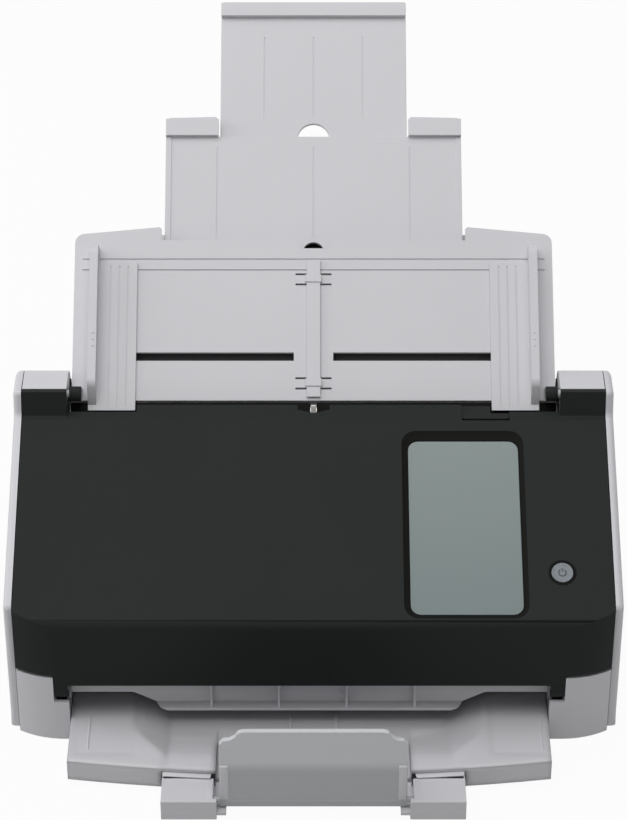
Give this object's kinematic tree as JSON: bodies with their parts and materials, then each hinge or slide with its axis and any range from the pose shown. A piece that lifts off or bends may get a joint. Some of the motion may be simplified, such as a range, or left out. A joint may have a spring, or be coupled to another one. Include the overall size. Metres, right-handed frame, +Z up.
{
  "type": "sheet fed document scanner",
  "caption": "Desktop sheet feed scanner: hinged cover with touch screen, folding paper chute with pull-out extensions and guides, geared rollers and sliding stacker tray.",
  "frame": {"origin": "centre of the bounding box in plan, on the plane that the feet stand on", "axes": "+X to the right of someone facing the screen, +Y from the stacker to the paper chute, +Z up"},
  "size_m": [0.298, 0.3546, 0.2539],
  "materials": {
    "light_grey_abs": "fine spark-eroded light grey moulding",
    "dark_grey_abs": "dark grey satin moulding",
    "black_abs": "black moulding",
    "white_acetal": "white acetal moulding",
    "grey_rubber": "ground rubber",
    "bright_steel": "bright drawn steel",
    "zinc_plated_steel": "zinc plated sheet",
    "touch_glass": "printed touch glass, screen off",
    "scan_glass": "polished glass",
    "circuit_board": "green solder mask",
    "button_grey": "satin grey key cap"
  },
  "bodies": {
    "base": {"bottom_pan": "light_grey_abs", "foot_front_left": "grey_rubber", "foot_front_right": "grey_rubber", "foot_rear_left": "grey_rubber", "foot_rear_right": "grey_rubber", "left_side_cover": "light_grey_abs", "right_side_cover": "light_grey_abs", "rear_cover": "light_grey_abs", "left_frame": "zinc_plated_steel", "right_frame": "zinc_plated_steel", "lower_guide": "black_abs", "exit_wall": "light_grey_abs", "back_scan_unit": "black_abs", "back_scan_glass": "scan_glass", "main_board": "circuit_board", "dc_jack": "black_abs", "usb_port": "black_abs", "lan_port": "black_abs", "drive_motor": "bright_steel", "cover_pin_left": "bright_steel", "cover_pin_right": "bright_steel"},
    "cover": {"cover_shell": "dark_grey_abs", "upper_guide": "black_abs", "touch_glass": "touch_glass", "display_module": "black_abs", "control_board": "circuit_board", "front_scan_unit": "black_abs", "front_scan_glass": "scan_glass"},
    "power_button": {"power_button": "button_grey"},
    "release_tab": {"release_tab": "dark_grey_abs"},
    "sensor_flag": {"sensor_flag": "white_acetal"},
    "chute": {"chute_front": "light_grey_abs", "chute_back": "light_grey_abs", "centre_rail": "light_grey_abs"},
    "mid_extension": {"mid_extension": "light_grey_abs"},
    "top_extension": {"top_extension": "light_grey_abs"},
    "left_guide": {"left_guide": "light_grey_abs"},
    "right_guide": {"right_guide": "light_grey_abs"},
    "guide_pinion": {"guide_pinion": "white_acetal"},
    "stacker": {"stacker_tray": "light_grey_abs"},
    "stacker_extension": {"stacker_extension": "light_grey_abs"},
    "stopper": {"stopper": "light_grey_abs"},
    "feed_drive": {"feed_shaft": "bright_steel", "feed_gear": "white_acetal", "feed_roller_left": "grey_rubber", "feed_roller_right": "grey_rubber"},
    "eject_drive": {"eject_shaft": "bright_steel", "eject_gear": "white_acetal", "eject_roller_left": "grey_rubber", "eject_roller_right": "grey_rubber"},
    "pick_drive": {"pick_shaft": "bright_steel", "pick_gear": "white_acetal", "pick_roller": "grey_rubber"},
    "drive_idler": {"drive_idler_gear": "white_acetal"},
    "pick_idler": {"pick_idler_gear": "white_acetal"},
    "motor_shaft": {"motor_pinion": "white_acetal"},
    "feed_pinch": {"feed_pinch_roller": "grey_rubber"},
    "eject_pinch": {"eject_pinch_roller": "grey_rubber"},
    "brake": {"brake_roller": "grey_rubber"}
  },
  "joints": [
    {"name": "cover_hinge", "type": "hinge", "parent": "base", "child": "cover", "pos_m": [0, -0.11144, 0.03], "axis": [1, 0, 0], "range_deg": [0, 60]},
    {"name": "chute_hinge", "type": "hinge", "parent": "base", "child": "chute", "pos_m": [0, -0.00464, 0.12917], "axis": [-1, 0, 0], "range_deg": [-160, 0]},
    {"name": "mid_extension_slide", "type": "slide", "parent": "chute", "child": "mid_extension", "axis": [0, -0.7771, -0.6293], "range_m": [0, 0.055]},
    {"name": "top_extension_slide", "type": "slide", "parent": "mid_extension", "child": "top_extension", "axis": [0, -0.7771, -0.6293], "range_m": [0, 0.062]},
    {"name": "left_guide_slide", "type": "slide", "parent": "chute", "child": "left_guide", "axis": [1, 0, 0], "range_m": [0, 0.076]},
    {"name": "right_guide_slide", "type": "slide", "parent": "chute", "child": "right_guide", "axis": [1, 0, 0], "range_m": [-0.076, 0]},
    {"name": "guide_pinion_spin", "type": "hinge", "parent": "chute", "child": "guide_pinion", "pos_m": [0, 0.01939, 0.13525], "axis": [0, -0.6293, 0.7771], "range_deg": [-730, 0]},
    {"name": "stacker_slide", "type": "slide", "parent": "base", "child": "stacker", "axis": [0, 1, 0], "range_m": [0, 0.032]},
    {"name": "stacker_extension_slide", "type": "slide", "parent": "stacker", "child": "stacker_extension", "axis": [0, 1, 0], "range_m": [0, 0.013]},
    {"name": "stopper_hinge", "type": "hinge", "parent": "stacker_extension", "child": "stopper", "pos_m": [0, -0.16944, 0.0086], "axis": [-1, 0, 0], "range_deg": [0, 84]},
    {"name": "power_button_press", "type": "slide", "parent": "cover", "child": "power_button", "axis": [0, 0.4289, -0.9033], "range_m": [0, 0.001], "stiffness_N_per_m": 700, "springref_m": -0.001},
    {"name": "release_tab_pull", "type": "hinge", "parent": "cover", "child": "release_tab", "pos_m": [0, -0.01567, 0.12115], "axis": [1, 0, 0], "range_deg": [0, 15], "stiffness_Nm_per_rad": 0.03, "springref_deg": -5.73},
    {"name": "sensor_flag_swing", "type": "hinge", "parent": "base", "child": "sensor_flag", "pos_m": [0, -0.00405, 0.11048], "axis": [-1, 0, 0], "range_deg": [0, 25], "stiffness_Nm_per_rad": 0.002, "springref_deg": -5.73},
    {"name": "feed_spin", "type": "hinge", "parent": "base", "child": "feed_drive", "pos_m": [0, -0.04334, 0.07525], "axis": [1, 0, 0], "continuous": true},
    {"name": "eject_spin", "type": "hinge", "parent": "base", "child": "eject_drive", "pos_m": [0, -0.08686, 0.04001], "axis": [1, 0, 0], "continuous": true},
    {"name": "pick_spin", "type": "hinge", "parent": "base", "child": "pick_drive", "pos_m": [0, -0.02591, 0.08551], "axis": [1, 0, 0], "continuous": true},
    {"name": "drive_idler_spin", "type": "hinge", "parent": "base", "child": "drive_idler", "pos_m": [0, -0.06035, 0.05177], "axis": [1, 0, 0], "continuous": true},
    {"name": "pick_idler_spin", "type": "hinge", "parent": "base", "child": "pick_idler", "pos_m": [0, -0.03048, 0.07334], "axis": [1, 0, 0], "continuous": true},
    {"name": "motor_spin", "type": "hinge", "parent": "base", "child": "motor_shaft", "pos_m": [0, -0.03404, 0.04219], "axis": [1, 0, 0], "continuous": true},
    {"name": "feed_pinch_spin", "type": "hinge", "parent": "cover", "child": "feed_pinch", "pos_m": [0, -0.05108, 0.08481], "axis": [1, 0, 0], "continuous": true},
    {"name": "eject_pinch_spin", "type": "hinge", "parent": "cover", "child": "eject_pinch", "pos_m": [0, -0.0946, 0.04957], "axis": [1, 0, 0], "continuous": true},
    {"name": "brake_spin", "type": "hinge", "parent": "cover", "child": "brake", "pos_m": [0, -0.0368, 0.09895], "axis": [1, 0, 0], "continuous": true}
  ],
  "couplings": [
    {"joint": "eject_spin", "follows": "feed_spin", "ratio": 1},
    {"joint": "pick_spin", "follows": "feed_spin", "ratio": 1},
    {"joint": "drive_idler_spin", "follows": "feed_spin", "ratio": -0.31818},
    {"joint": "pick_idler_spin", "follows": "feed_spin", "ratio": -1.1667},
    {"joint": "motor_spin", "follows": "feed_spin", "ratio": 1.1667},
    {"joint": "feed_pinch_spin", "follows": "feed_spin", "ratio": -1.4},
    {"joint": "eject_pinch_spin", "follows": "feed_spin", "ratio": -1.4},
    {"joint": "brake_spin", "follows": "feed_spin", "ratio": -1.4286},
    {"joint": "right_guide_slide", "follows": "left_guide_slide", "ratio": -1},
    {"joint": "guide_pinion_spin", "follows": "left_guide_slide", "rad_per_m": -166.67}
  ]
}
